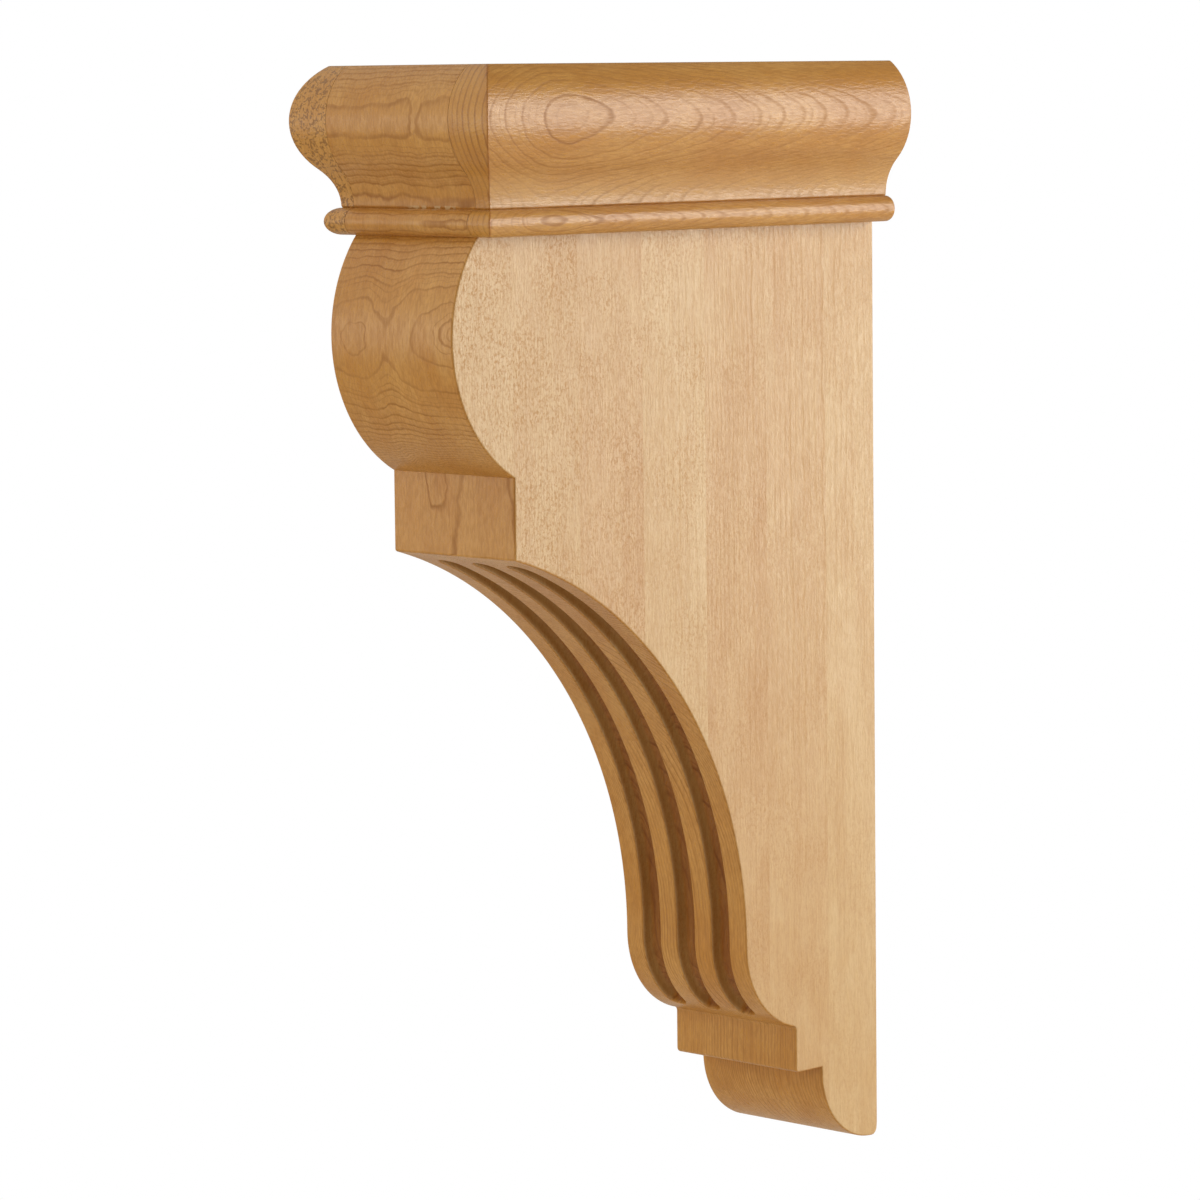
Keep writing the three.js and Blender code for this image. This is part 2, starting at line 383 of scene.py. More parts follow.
def draw_body(pen, body, crown):
    """The body's side outline, from the top of the wall face round the front to its foot."""
    base = crown_base(body, crown)
    belly = body.belly_depth - body.belly_radius
    rise = body.belly_drop - crown.bead_drop - crown.bead_radius
    belly_turn = math.asin(rise / body.belly_radius)
    belly_turn += math.acos((body.block_depth - belly) / body.belly_radius)
    cove, cove_turn = cove_arc(body)
    pen.line(base + crown_top(crown), 0)
    draw_crown(pen, base, body, crown)
    pen.arc(belly, body.belly_drop, -belly_turn)
    pen.line(body.block_depth, body.block_foot)
    pen.arc(body.waist_depth + cove, body.waist_drop, cove_turn)
    corner_depth, corner_drop, corner_turn = corner_over_step(body)
    fine = body.step_round / 6
    pen.arc(body.waist_depth - body.bulge_radius, body.waist_drop, -corner_turn)
    pen.arc(corner_depth, corner_drop, corner_turn, fine)
    pen.line(body.step_depth, body.step_foot - body.step_round)
    pen.arc(body.step_depth - body.step_round, body.step_foot - body.step_round, -QUARTER, fine)
    pen.line(body.ovolo_depth, body.step_foot)
    pen.line(body.ovolo_depth, body.height - body.ovolo_radius)
    pen.arc(body.ovolo_depth - body.ovolo_radius, body.height - body.ovolo_radius, -QUARTER)
    pen.arc(body.heel_radius, body.height - body.heel_radius, -QUARTER, body.heel_radius / 4)


def ease_edges(bm, glued, plain):
    """Gives each sharp edge its share of the full rounding.

    glued and plain tell by the middle of an edge whether it is one of those.
    """
    share = bm.edges.layers.float.new("bevel_weight_edge")
    for edge in bm.edges:
        middle = (edge.verts[0].co + edge.verts[1].co) / 2
        if glued(middle):
            edge[share] = GLUED_EASING
        elif edge.is_convex and edge.calc_face_angle() >= SHARP_ANGLE / 2:
            edge[share] = PLAIN_EASING if plain(middle) else 1.0


def flute_width(body):
    """The width of a flute, and of a land."""
    return body.width / (2 * body.flutes + 1)


def flute_half_section(bm, x, body):
    """Half of a flute's section at the waist: floor, wall and rounded lip, carried clear of the face."""
    half = flute_width(body) / 2
    lip = body.flute_lip
    waist = level(body.waist_drop)

    def place(out, sunk):
        return Vector((x + out, sunk - body.waist_depth, waist))

    pen = Pen(bm, place, (0, 0, 1), (0, body.flute_depth))
    pen.arc(0, body.flute_depth - half, -QUARTER, half / 5)
    pen.line(half, lip)
    pen.arc(half + lip, lip, LIP_TURN, lip / 3)
    reach = half + lip
    pen.line(reach, -lip / 4)
    pen.line(reach, -CUT_CLEARANCE)
    pen.line(0, -CUT_CLEARANCE)


def flute_cutter(bm, x, body):
    """One flute as a cutter: its section swept down the cove and over the bulge, with round ends."""
    before = set(bm.edges)
    flute_half_section(bm, x, body)
    half = [edge for edge in bm.edges if edge not in before]
    end_run = body.flute_margin + flute_width(body) / 2
    cove, cove_turn = cove_arc(body)
    cove_centre = at_depth(x)(body.waist_depth + cove, body.waist_drop)
    cove_turn -= end_run / cove
    bulge_centre = at_depth(x)(body.waist_depth - body.bulge_radius, body.waist_drop)
    lower_turn = bulge_turn(body) - end_run / body.bulge_radius
    aside = Vector((-1, 0, 0))

    upper = Matrix.Rotation(-cove_turn, 3, aside)
    verts = list({vert for edge in half for vert in edge.verts})
    bmesh.ops.rotate(bm, cent=cove_centre, matrix=upper, verts=verts)
    other = turn_end(bm, half, at_depth(x)(body.waist_depth, body.waist_drop), cove_centre, upper, 1)

    steps = math.ceil(cove * cove_turn / FACET)
    waist = sweep(bm, half + other, cove_centre, aside, cove_turn, steps, EDGE)
    steps = math.ceil(body.bulge_radius * lower_turn / FACET)
    foot = sweep(bm, waist, bulge_centre, aside, -lower_turn, steps, EDGE)
    foot = [edge for edge in foot if all(vert.co.x > x - TOUCH for vert in edge.verts)]
    lower = Matrix.Rotation(-lower_turn, 3, aside)
    turn_end(bm, foot, at_depth(x)(body.waist_depth, body.waist_drop), bulge_centre, lower, -1)


def turn_end(bm, half, waist, centre, swing, side):
    """Turns a half section half way round, about a line square to the face, to give the other half."""
    outward = swing @ Vector((0, -1, 0))
    point = centre + swing @ (waist - centre)
    return sweep(bm, half, point, outward, side * math.pi, END_STEPS, EDGE)


def merge(bm):
    """Merges what touches."""
    bmesh.ops.remove_doubles(bm, verts=bm.verts[:], dist=TOUCH)
    bmesh.ops.dissolve_degenerate(bm, edges=bm.edges[:], dist=TOUCH)


def close_up(bm):
    """Merges what touches and turns every face outwards."""
    merge(bm)
    bmesh.ops.recalc_face_normals(bm, faces=bm.faces[:])


def put(name, data):
    """A new object in the scene."""
    made = bpy.data.objects.new(name, data)
    bpy.context.scene.collection.objects.link(made)
    return made


def new_piece(name, bm):
    """A mesh object at the origin, with its place in its mesh."""
    mesh = bpy.data.meshes.new(name)
    bm.to_mesh(mesh)
    bm.free()
    return put(name, mesh)


def round_edges(piece, width):
    """Rounds the weighted edges of a piece."""
    bevel = piece.modifiers.new("Sanded edges", "BEVEL")
    bevel.limit_method = "WEIGHT"
    bevel.width = width
    bevel.segments = 3
    bevel.use_clamp_overlap = False


def settle(piece):
    """Makes the result of a piece's modifiers its mesh, then shades it."""
    graph = bpy.context.evaluated_depsgraph_get()
    rough = piece.data
    mesh = bpy.data.meshes.new_from_object(piece.evaluated_get(graph))
    piece.modifiers.clear()
    piece.data = mesh
    bpy.data.meshes.remove(rough)
    mesh.name = piece.name
    bm = bmesh.new()
    bm.from_mesh(mesh)
    merge(bm)
    if not all(edge.is_manifold for edge in bm.edges):
        raise RuntimeError(f"{piece.name} isn't closed")
    bm.to_mesh(mesh)
    bm.free()
    mesh.shade_smooth()
    mesh.set_sharp_from_angle(angle=SHARP_ANGLE)
    normals = piece.modifiers.new("Flat faces stay flat", "WEIGHTED_NORMAL")
    normals.keep_sharp = True
    normals.weight = 80


def finish_piece(piece, node, material):
    """Puts a piece in its solid's place and on its body, with its material."""
    piece.data.materials.clear()
    piece.data.materials.append(material)
    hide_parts(node)
    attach(piece, BODY)


def board_mesh(body, crown):
    """The right-hand board: the profile carried from the wall to the corner and back along the cheek."""
    bm = bmesh.new()
    base = crown_base(body, crown)
    cheek = BODY_BOX[1].x
    pen = Pen(bm, from_cheek, (0, -1, 0), (crown_top(crown), 0))
    draw_crown(pen, 0, body, crown)
    wall_end = bm.edges[:]

    to_corner = Matrix(((1, 0, 0, 0), (-1, 1, 0, cheek - base), (0, 0, 1, 0), (0, 0, 0, 1)))
    to_cheek = Matrix(((0, 0, 0, cheek + crown.glue_line), (0, 1, 0, 0), (0, 0, 1, 0), (0, 0, 0, 1)))
    to_wall = Matrix.Diagonal((1, 0, 1, 1))
    edges = wall_end
    for move in (to_corner, to_cheek, to_wall):
        made = bmesh.ops.extrude_edge_only(bm, edges=edges)["geom"]
        edges = only(made, EDGE)
        verts = only(made, VERT)
        edges = [edge for edge in edges if all(vert in verts for vert in edge.verts)]
        bmesh.ops.transform(bm, matrix=move, verts=verts)
    bmesh.ops.bridge_loops(bm, edges=edges + wall_end)
    bmesh.ops.holes_fill(bm, edges=bm.edges[:], sides=0)
    close_up(bm)
    bmesh.ops.dissolve_limit(bm, angle_limit=FLAT_ANGLE, verts=bm.verts[:], edges=bm.edges[:])
    return bm


class Net:
    """Adds nodes to a node tree and links them up. A value is a socket to link or a plain setting."""

    def __init__(self, tree):
        self.tree = tree

    def node(self, kind, **settings):
        node = self.tree.nodes.new(kind)
        for name, value in settings.items():
            setattr(node, name, value)
        return node

    def feed(self, socket, value):
        if isinstance(value, bpy.types.NodeSocket):
            self.tree.links.new(value, socket)
        else:
            socket.default_value = value

    def fill(self, node, *values):
        """Feeds a node's inputs in their order."""
        for socket, value in zip(node.inputs, values):
            self.feed(socket, value)
        return node.outputs

    def dial(self, node, values):
        """Feeds a node's inputs by their names."""
        for name, value in values.items():
            self.feed(node.inputs[name], value)
        return node.outputs

    def math(self, operation, *values):
        return self.fill(self.node("ShaderNodeMath", operation=operation), *values)[0]

    def plus(self, first, second):
        return self.math("ADD", first, second)

    def minus(self, first, second):
        return self.math("SUBTRACT", first, second)

    def times(self, first, second):
        return self.math("MULTIPLY", first, second)

    def most(self, first, second):
        return self.math("MAXIMUM", first, second)

    def size(self, value):
        return self.math("ABSOLUTE", value)

    def vector(self, operation, *values):
        made = self.fill(self.node("ShaderNodeVectorMath", operation=operation), *values)
        return made["Value" if operation in ("DOT_PRODUCT", "LENGTH", "DISTANCE") else "Vector"]

    def split(self, vector):
        return self.fill(self.node("ShaderNodeSeparateXYZ"), vector)

    def join(self, x, y, z):
        return self.fill(self.node("ShaderNodeCombineXYZ"), x, y, z)[0]

    def remap(self, value, low, high, to_low=0.0, to_high=1.0):
        node = self.node("ShaderNodeMapRange", interpolation_type="SMOOTHSTEP")
        return self.fill(node, value, low, high, to_low, to_high)[0]

    def noise(self, vector, scale, detail=2.0, roughness=0.5, seed=0.0, distortion=0.0, output="Fac"):
        values = {
            "Vector": vector, "W": seed, "Scale": scale, "Detail": detail,
            "Roughness": roughness, "Distortion": distortion,
        }
        return self.dial(self.node("ShaderNodeTexNoise", noise_dimensions="4D"), values)[output]

    def chance(self, value):
        node = self.node("ShaderNodeTexWhiteNoise", noise_dimensions="1D")
        return self.dial(node, {"W": value})["Value"]

    def mix(self, factor, first, second, blend="MIX"):
        node = self.node("ShaderNodeMix", data_type="RGBA", blend_type=blend)
        self.feed(node.inputs[0], factor)
        for socket, value in zip(node.inputs[6:8], (first, second)):
            self.feed(socket, colour(value))
        return node.outputs[2]

    def group(self, tree, **values):
        return self.dial(self.node("ShaderNodeGroup", node_tree=tree), values)


def colour(value):
    """A colour with its alpha, or a socket as it is."""
    return value if isinstance(value, bpy.types.NodeSocket) else (*value, 1.0)


def new_group(name, inputs, outputs):
    """An empty shader group with its sockets: Vector, Centre and Reach are vectors, the rest values."""
    tree = bpy.data.node_groups.new(name, "ShaderNodeTree")
    for socket in inputs:
        kind = "NodeSocketVector" if socket in ("Vector", "Centre", "Reach") else "NodeSocketFloat"
        tree.interface.new_socket(name=socket, in_out="INPUT", socket_type=kind)
    for socket in outputs:
        tree.interface.new_socket(name=socket, in_out="OUTPUT", socket_type="NodeSocketFloat")
    net = Net(tree)
    return net, net.node("NodeGroupInput").outputs, net.node("NodeGroupOutput").inputs


def swell_group():
    """A smooth hump, which sinks the rings round one place and draws an eye or a saddle."""
    net, given, result = new_group("Swell", ("Vector", "Centre", "Reach", "Height"), ("Lift",))
    away = net.vector("SUBTRACT", given["Vector"], given["Centre"])
    away = net.vector("DIVIDE", away, given["Reach"])
    spread = net.math("EXPONENT", net.times(net.vector("DOT_PRODUCT", away, away), -1.0))
    net.feed(result["Lift"], net.times(spread, given["Height"]))
    return net.tree


def rings_group():
    """A year's rings under the bark side of a board: thin dark lines, wider apart near the bark.

    The vector is (across, depth under the bark side, along the grain). Lift sinks the rings, Tilt is how
    steeply the surface cuts them, Drift and Ripple how far they stray, Pace how many there are in a metre
    at the bark, and Phase where the count starts.
    """
    settings = ("Vector", "Lift", "Tilt", "Drift", "Ripple", "Pace", "Phase", "Seed")
    net, given, result = new_group("Growth rings", settings, ("Line", "Fine", "Season"))
    across, sunk, along = net.split(given["Vector"])
    place = net.join(across, net.times(sunk, 0.5), net.times(along, 0.42))
    under = net.plus(sunk, given["Lift"])
    ripple = net.times(given["Ripple"], net.remap(given["Tilt"], 0.0, 0.6, 0.3, 1.0))
    for reach, scale, detail in ((given["Drift"], 30.0, 1.0), (ripple, 130.0, 3.0)):
        stray = net.minus(net.noise(place, scale, detail, 0.5, given["Seed"]), 0.5)
        under = net.math("MULTIPLY_ADD", stray, reach, under)
    size = net.size(under)
    pace = net.plus(net.times(size, RING_CROWDING), given["Pace"])
    count = net.plus(net.times(under, pace), given["Phase"])
    speed = net.plus(net.times(size, 2 * RING_CROWDING), given["Pace"])
    steep = net.times(net.most(given["Tilt"], LEAST_TILT), RING_LINE)
    width = net.math("MINIMUM", net.times(speed, steep), 0.5)
    fading = net.remap(net.noise(place, 70.0, 3.0, 0.6, given["Seed"]), 0.34, 0.62, 0.45, 1.0)
    ink = net.times(fading, net.remap(given["Tilt"], 0.2, 0.75, 1.0, 0.8))
    for name, times, thick, low in (("Line", 1.0, 1.0, 0.6), ("Fine", 3.0, 1.5, 0.0)):
        many = net.times(count, times)
        season = net.math("FRACT", many)
        start = net.minus(1.0, net.times(width, thick))
        middle = net.minus(1.0, net.times(width, thick * 0.35))
        falling = net.remap(season, middle, 1.0, 1.0, 0.0)
        stroke = net.times(net.remap(season, start, middle), falling)
        year = net.chance(net.plus(net.math("FLOOR", many), given["Seed"]))
        depth = net.times(ink, net.remap(year, 0.0, 1.0, low, 1.0))
        net.feed(result[name], net.times(stroke, depth))
    net.feed(result["Season"], net.math("FRACT", count))
    return net.tree


def grain_group():
    """The marks of the grain. The vector is as for the rings."""
    net, given, result = new_group("Grain", ("Vector", "Seed"), GRAIN_MARKS)
    for name, (stretch, scale, detail, roughness, distortion, low, high) in GRAIN_MARKS.items():
        drawn = net.vector("MULTIPLY", given["Vector"], (1.0, 1.0, stretch))
        marks = net.noise(drawn, scale, detail, roughness, given["Seed"], distortion)
        net.feed(result[name], net.remap(marks, low, high))
    return net.tree


def film_group():
    """The satin film: how rough it dries over the grain, and the relief that telegraphs through it."""
    settings = ("Vector", "Dash", "Dull", "Gloss")
    net, given, result = new_group("Satin film", settings, ("Roughness", "Relief"))
    pool = net.minus(net.noise(given["Vector"], 60.0), 0.5)
    open_grain = net.times(net.minus(given["Dash"], 0.5), 0.10)
    uneven = net.plus(net.times(pool, 0.06), open_grain)
    dull = net.math("MULTIPLY_ADD", given["Dull"], 0.22, given["Gloss"])
    net.feed(result["Roughness"], net.plus(dull, uneven))
    sunk = net.plus(given["Dash"], net.times(given["Dull"], 0.4))
    net.feed(result["Relief"], net.minus(1.0, sunk))
    return net.tree


# A material's wood: its coordinates, rings and seed; how far it shows a quarter face, and the crowd of
# flecks there; how far it shows an end, and the rings and specks there; where it is paler, from chips on
# the body and painted sheen on the crown boards; its cast, with the painted shade in it; how dark its
# rings are and how much its film shines.
Wood = namedtuple("Wood", "place rings seed quarter crowd end end_ring specks pale tone ink shine")


class MapleShop:
    """The shared groups of the maple, and the two materials made with them."""

    def __init__(self, settings):
        self.finish = settings.maple
        self.body = settings.body
        self.crown = settings.crown
        self.swell = swell_group()
        self.rings = rings_group()
        self.grain = grain_group()
        self.film = film_group()

    def start(self, name):
        """An empty material, its net of nodes, and the object coordinates and facing of the surface."""
        material = bpy.data.materials.new(name)
        material.use_nodes = True
        material.node_tree.nodes.clear()
        net = Net(material.node_tree)
        point = net.node("ShaderNodeTexCoord").outputs["Object"]
        normal = net.node("ShaderNodeNewGeometry").outputs["Normal"]
        return material, net, point, normal

    def lift(self, net, point):
        """Adds up the swells at a point, which strays a little so that their edges wander."""
        stray = net.vector("SUBTRACT", net.noise(point, 150.0, output="Color"), (0.5, 0.5, 0.5))
        point = net.vector("MULTIPLY_ADD", stray, (WANDER, 0.0, WANDER), point)
        body = self.body
        faces = {
            "belly": (-body.belly_depth, level(body.belly_drop)),
            "nose": (-body.depth, level(self.crown.nose_drop)),
            "block": (-body.block_depth, level(body.block_foot)),
        }
        total = 0.0
        for face, across, up, wide, tall, height in SWELLS:
            y, z = faces[face]
            centre, reach = (across, y, z + up), (wide, SWELL_DEPTH, tall)
            hump = net.group(self.swell, Vector=point, Centre=centre, Reach=reach, Height=height)
            total = net.plus(total, hump["Lift"])
        return total

    def tilt(self, net, normal, bark):
        """How steeply a surface cuts the rings, whose bark side looks along a direction."""
        along = net.vector("DOT_PRODUCT", normal, bark)
        return net.math("SQRT", net.most(net.minus(1.0, net.times(along, along)), 0.0))

    def dress(self, material, net, wood):
        """Colours the wood and gives it its film."""
        finish = self.finish
        grain = net.group(self.grain, Vector=wood.place, Seed=wood.seed)
        crowd = net.math("MULTIPLY_ADD", grain["Crowd"], 1.0 - FEWEST_FLECKS, FEWEST_FLECKS)
        fleck = net.times(net.times(grain["Fleck"], crowd), wood.crowd)
        ring = net.most(wood.rings["Line"], net.times(wood.rings["Fine"], FINE_RING))

        flat = net.mix(grain["Tone"], finish.heart, finish.sap)
        flat = net.mix(net.times(wood.rings["Season"], FLAT["season"]), flat, finish.heart)
        flat = net.mix(net.times(grain["Band"], FLAT["band"]), flat, finish.line)
        flat = net.mix(net.times(ring, wood.ink), flat, finish.line)
        paler = net.math("MULTIPLY_ADD", wood.crowd, CHEEK["crowd"], grain["Tone"])
        cheek = net.mix(paler, finish.quarter, finish.pale)
        cheek = net.mix(net.times(fleck, CHEEK["fleck"]), cheek, finish.fleck)
        cheek = net.mix(net.times(grain["Band"], CHEEK["band"]), cheek, finish.fleck)
        cheek = net.mix(net.times(ring, CHEEK["ring"]), cheek, finish.line)
        shown = net.mix(wood.quarter, flat, cheek)
        for mark in ("streak", "dash"):
            strength = net.remap(wood.quarter, 0.0, 1.0, FLAT[mark], CHEEK[mark])
            shown = net.mix(net.times(grain[mark.title()], strength), shown, finish.line)
        paler = net.math("MULTIPLY_ADD", wood.specks, END_SAP, grain["Tone"])
        ends = net.mix(paler, finish.heart, finish.sap)
        ends = net.mix(net.times(grain["Speck"], wood.specks), ends, finish.end)
        strength = net.minus(END_RING, wood.specks)
        ends = net.mix(net.times(wood.end_ring, strength), ends, finish.line)
        shown = net.mix(wood.end, shown, ends)
        # The cast, with its painted shade; then the chips and the painted sheen, which lighten the colour.
        shown = net.mix(1.0, shown, wood.tone, "MULTIPLY")
        shown = net.mix(wood.pale, shown, finish.pale)

        dull = net.most(ring, net.times(fleck, wood.quarter))
        film = net.group(self.film, Vector=wood.place, Dash=grain["Dash"], Dull=dull, Gloss=finish.gloss)
        bump = net.node("ShaderNodeBump")
        bump.inputs["Strength"].default_value = 0.4
        bump.inputs["Distance"].default_value = GRAIN_RELIEF
        net.feed(bump.inputs["Height"], film["Relief"])
        shader = net.node("ShaderNodeBsdfPrincipled")
        shader.inputs["IOR"].default_value = 1.5
        shader.inputs["Specular IOR Level"].default_value = wood.shine
        look = {"Base Color": shown, "Roughness": film["Roughness"], "Normal": bump.outputs["Normal"]}
        surface = net.dial(shader, look)["BSDF"]
        net.feed(net.node("ShaderNodeOutputMaterial").inputs["Surface"], surface)
        return material

    def body_maple(self):
        """Upright staves, glued face to face from the wall to the front, each with its own figure."""
        material, net, point, normal = self.start("Body maple")
        finish = self.finish
        x, y, z = net.split(point)
        depth = net.times(y, -1.0)
        staves = net.math("DIVIDE", net.minus(depth, finish.first_stave), finish.stave)
        number = net.math("FLOOR", staves)
        sunk = net.times(net.minus(net.plus(number, 1.0), staves), finish.stave)
        turn = net.remap(number, *STAVE_TURN)
        sine, cosine = net.math("SINE", turn), net.math("COSINE", turn)
        bark = net.join(sine, cosine, 0.0)
        flank = net.join(cosine, net.times(sine, -1.0), 0.0)
        plan = net.join(x, sunk, 0.0)
        aside, under = (net.vector("DOT_PRODUCT", plan, way) for way in (flank, bark))
        place = net.join(aside, under, z)
        seed = net.times(number, STAVE_SEED)
        phase = net.math("MULTIPLY_ADD", number, *STAVE_PHASE)
        rings = net.group(
            self.rings, Vector=place, Lift=self.lift(net, point), Tilt=self.tilt(net, normal, bark),
            Drift=0.0007, Ripple=0.0020, Pace=283.0, Phase=phase, Seed=seed,
        )
        facing = net.split(net.vector("ABSOLUTE", normal))
        quarter = net.remap(facing[0], 0.75, 0.97)
        end = net.times(net.remap(facing[2], 0.90, 0.99), 0.8)
        crowd = net.remap(number, -1.0, 5.0, 0.4, 1.0)
        wave = net.math("SINE", net.math("MULTIPLY_ADD", number, *STAVE_SHADE))
        even = net.remap(z, *(level(drop) for drop in EVEN_DROPS), 0.0, EVEN_TOP)
        even = net.most(even, net.remap(quarter, 0.0, 1.0, EVEN_FRONT, 0.0))
        light = net.most(net.remap(wave, -1.0, 1.0), even)
        tone = net.mix(light, finish.dark_stave, finish.light_stave)
        # Painted shade: the colour darkens inside the flutes and along the inner corner over the bead.
        shade = net.most(self.painted_flute_shade(net, point), self.painted_crease_shade(net, point))
        tone = net.mix(shade, tone, finish.flute)
        wood = Wood(
            place=place, rings=rings, seed=seed, quarter=quarter, crowd=crowd,
            end=end, end_ring=rings["Line"], specks=0.35,
            pale=self.chips(net, point), tone=tone, ink=0.85, shine=0.35,
        )
        return self.dress(material, net, wood)

    def painted_crease_shade(self, net, point):
        """A line of painted shade in the inner corner over the bead."""
        _, y, z = net.split(point)
        off = net.size(net.minus(z, level(self.crown.cove_drop)))
        broad = net.remap(net.noise(point, 210.0), 0.3, 0.7, 0.0003, 0.0010)
        clear_of_wall = net.remap(y, -0.003, -0.001, 0.8, 0.0)
        return net.remap(off, 0.0, broad, clear_of_wall, 0.0)

    def chips(self, net, point):
        """Tiny chips along the inner corner over the front bead."""
        x, y, z = net.split(point)
        off = net.size(net.minus(z, level(self.crown.cove_drop)))
        near = net.remap(off, 0.0003, 0.0009, 1.0, 0.0)
        before = crown_base(self.body, self.crown) + self.crown.cove_overhang / 2
        front = net.math("LESS_THAN", y, -before)
        aside = net.size(net.minus(x, CHIPS_PLACE))
        across = net.remap(aside, CHIPS_REACH / 2, CHIPS_REACH, 0.8, 0.0)
        spots = net.remap(net.noise(point, 380.0, 1.0), 0.50, 0.58)
        return net.times(net.times(near, front), net.times(across, spots))

    def painted_flute_shade(self, net, point):
        """How far a point lies inside a flute, where the colour is darkened, partly for stain that the cut
        takes up and partly as painted shade.
        """
        body = self.body
        radius, _ = cove_arc(body)
        flat = net.vector("MULTIPLY", point, (0.0, 1.0, 1.0))
        waist = level(body.waist_drop)
        cove = net.vector("DISTANCE", flat, (0.0, -body.waist_depth - radius, waist))
        bulge = net.vector("DISTANCE", flat, (0.0, body.bulge_radius - body.waist_depth, waist))
        in_cove = net.minus(cove, radius)
        in_bulge = net.minus(body.bulge_radius, bulge)
        height = net.split(point)[2]
        above = net.math("GREATER_THAN", height, waist)
        sunk = net.plus(net.times(above, in_cove), net.times(net.minus(1.0, above), in_bulge))
        margin = 0.002
        across = net.size(net.split(point)[0])
        across = net.math("LESS_THAN", across, body.width / 2 - margin)
        below = net.math("LESS_THAN", height, level(body.block_foot + margin))
        started = net.remap(sunk, 0.0003, 0.0016)
        ended = net.remap(sunk, body.flute_depth, body.flute_depth + 0.001, 1.0, 0.0)
        return net.times(net.times(across, below), net.times(started, ended))

    def crown_maple(self):
        """Flat-sawn boards, with the grain from the wall to the front and the bark side outwards."""
        material, net, point, normal = self.start("Crown maple")
        finish = self.finish
        x, y, z = net.split(point)
        face = BOARD_BOX[1].x
        place = net.join(z, net.minus(face, net.size(x)), y)
        seed = net.math("MULTIPLY_ADD", net.math("SIGN", x), 2.0, 5.0)
        beyond = net.minus(y, BOARD_BOX[0].y + EYE_PLACE)
        away = net.vector("LENGTH", net.join(beyond, EYE_ROUND, 0.0))
        lift = net.times(net.minus(away, EYE_ROUND), EYE_RISE)
        lift = net.math("MULTIPLY_ADD", beyond, EYE_LEAN, lift)
        rings = net.group(
            self.rings, Vector=place, Lift=lift, Tilt=self.tilt(net, normal, (1.0, 0.0, 0.0)),
            Drift=0.0030, Ripple=0.0022, Pace=300.0, Phase=-0.45, Seed=seed,
        )
        ink = net.remap(beyond, 0.0, EYE_FADE, 0.78, 0.42)
        end = net.remap(net.split(net.vector("ABSOLUTE", normal))[1], 0.35, 0.75)
        # Painted shade: the colour darkens along the front corner and in the inner corner over the bead.
        corner = net.most(self.painted_corner_shade(net, point), self.painted_crease_shade(net, point))
        tone = net.mix(corner, net.mix(end, finish.board, finish.board_end), finish.flute)
        # Painted sheen: the lower cove is lightened, except on the end grain.
        in_cove = net.math("GREATER_THAN", z, level(self.crown.cove_drop))
        low, high = (level(drop) for drop in COVE_SHEEN_DROPS)
        painted_cove_sheen = net.times(in_cove, net.remap(z, low, high, COVE_SHEEN, 0.0))
        painted_cove_sheen = net.times(painted_cove_sheen, net.minus(1.0, end))
        specks = net.math("MULTIPLY_ADD", net.math("SIGN", x), -0.36, 0.46)
        specks = net.times(specks, net.remap(y, -0.1, -0.05, 1.0, 0.5))
        end_ring = net.group(
            self.rings, Vector=net.vector("MULTIPLY", place, (1.0, 0.6, 1.0)), Lift=0.0, Tilt=0.7,
            Drift=0.0040, Ripple=0.0012, Pace=420.0, Phase=0.3, Seed=seed,
        )["Line"]
        wood = Wood(
            place=place, rings=rings, seed=seed, quarter=0.0, crowd=0.0, end=end, end_ring=end_ring,
            specks=specks, pale=painted_cove_sheen, tone=tone, ink=ink, shine=0.45,
        )
        return self.dress(material, net, wood)

    def painted_corner_shade(self, net, point):
        """A thin uneven line of painted shade along the front corner of a board."""
        x, y, _ = net.split(point)
        aside = net.minus(net.size(x), BODY_BOX[1].x)
        ahead = net.minus(net.times(y, -1.0), crown_base(self.body, self.crown))
        sway = net.times(net.minus(net.noise(point, 130.0, 3.0), 0.5), 0.0030)
        off = net.size(net.plus(net.minus(aside, ahead), sway))
        broad = net.remap(net.noise(point, 260.0), 0.3, 0.7, 0.0004, 0.0018)
        return net.remap(off, 0.0, broad, 0.95, 0.0)


def maple_shop(settings):
    """The materials, made once."""
    made = {material.name: material for material in bpy.data.materials}
    if "Body maple" not in made:
        shop = MapleShop(settings)
        made = {"Body maple": shop.body_maple(), "Crown maple": shop.crown_maple()}
    return made


class CORBEL_OT_body(bpy.types.Operator):
    """Model the carved and fluted body in the place of its solid"""

    bl_idname = "corbel.body"
    bl_label = "Carve Body"

    def execute(self, context):
        settings = context.scene.corbel
        body = settings.body
        half = body.width / 2
        bm = bmesh.new()
        pen = Pen(bm, at_depth(-half), (-1, 0, 0), (0, 0))
        draw_body(pen, body, settings.crown)
        cheek = pen.close()
        made = bmesh.ops.extrude_face_region(bm, geom=[cheek])["geom"]
        bmesh.ops.translate(bm, verts=only(made, VERT), vec=(body.width, 0, 0))
        close_up(bm)
        crown_foot = level(settings.crown.bead_drop + settings.crown.bead_radius)
        ease_edges(
            bm,
            lambda middle: half - abs(middle.x) < TOUCH and middle.z > crown_foot - TOUCH,
            lambda middle: middle.y > -TOUCH or middle.z > level(TOUCH),
        )
        piece = new_piece("maple_body", bm)
        round_edges(piece, body.arris)

        cutters = bmesh.new()
        for index in range(body.flutes):
            flute_cutter(cutters, (2 * index + 1 - body.flutes) * flute_width(body), body)
        close_up(cutters)
        cutter = new_piece("flute_cutters", cutters)
        cut = piece.modifiers.new("Flutes", "BOOLEAN")
        cut.operation = "DIFFERENCE"
        cut.solver = "EXACT"
        cut.object = cutter
        settle(piece)
        bpy.data.meshes.remove(cutter.data)
        finish_piece(piece, "corbel_body", maple_shop(settings)["Body maple"])
        return {"FINISHED"}


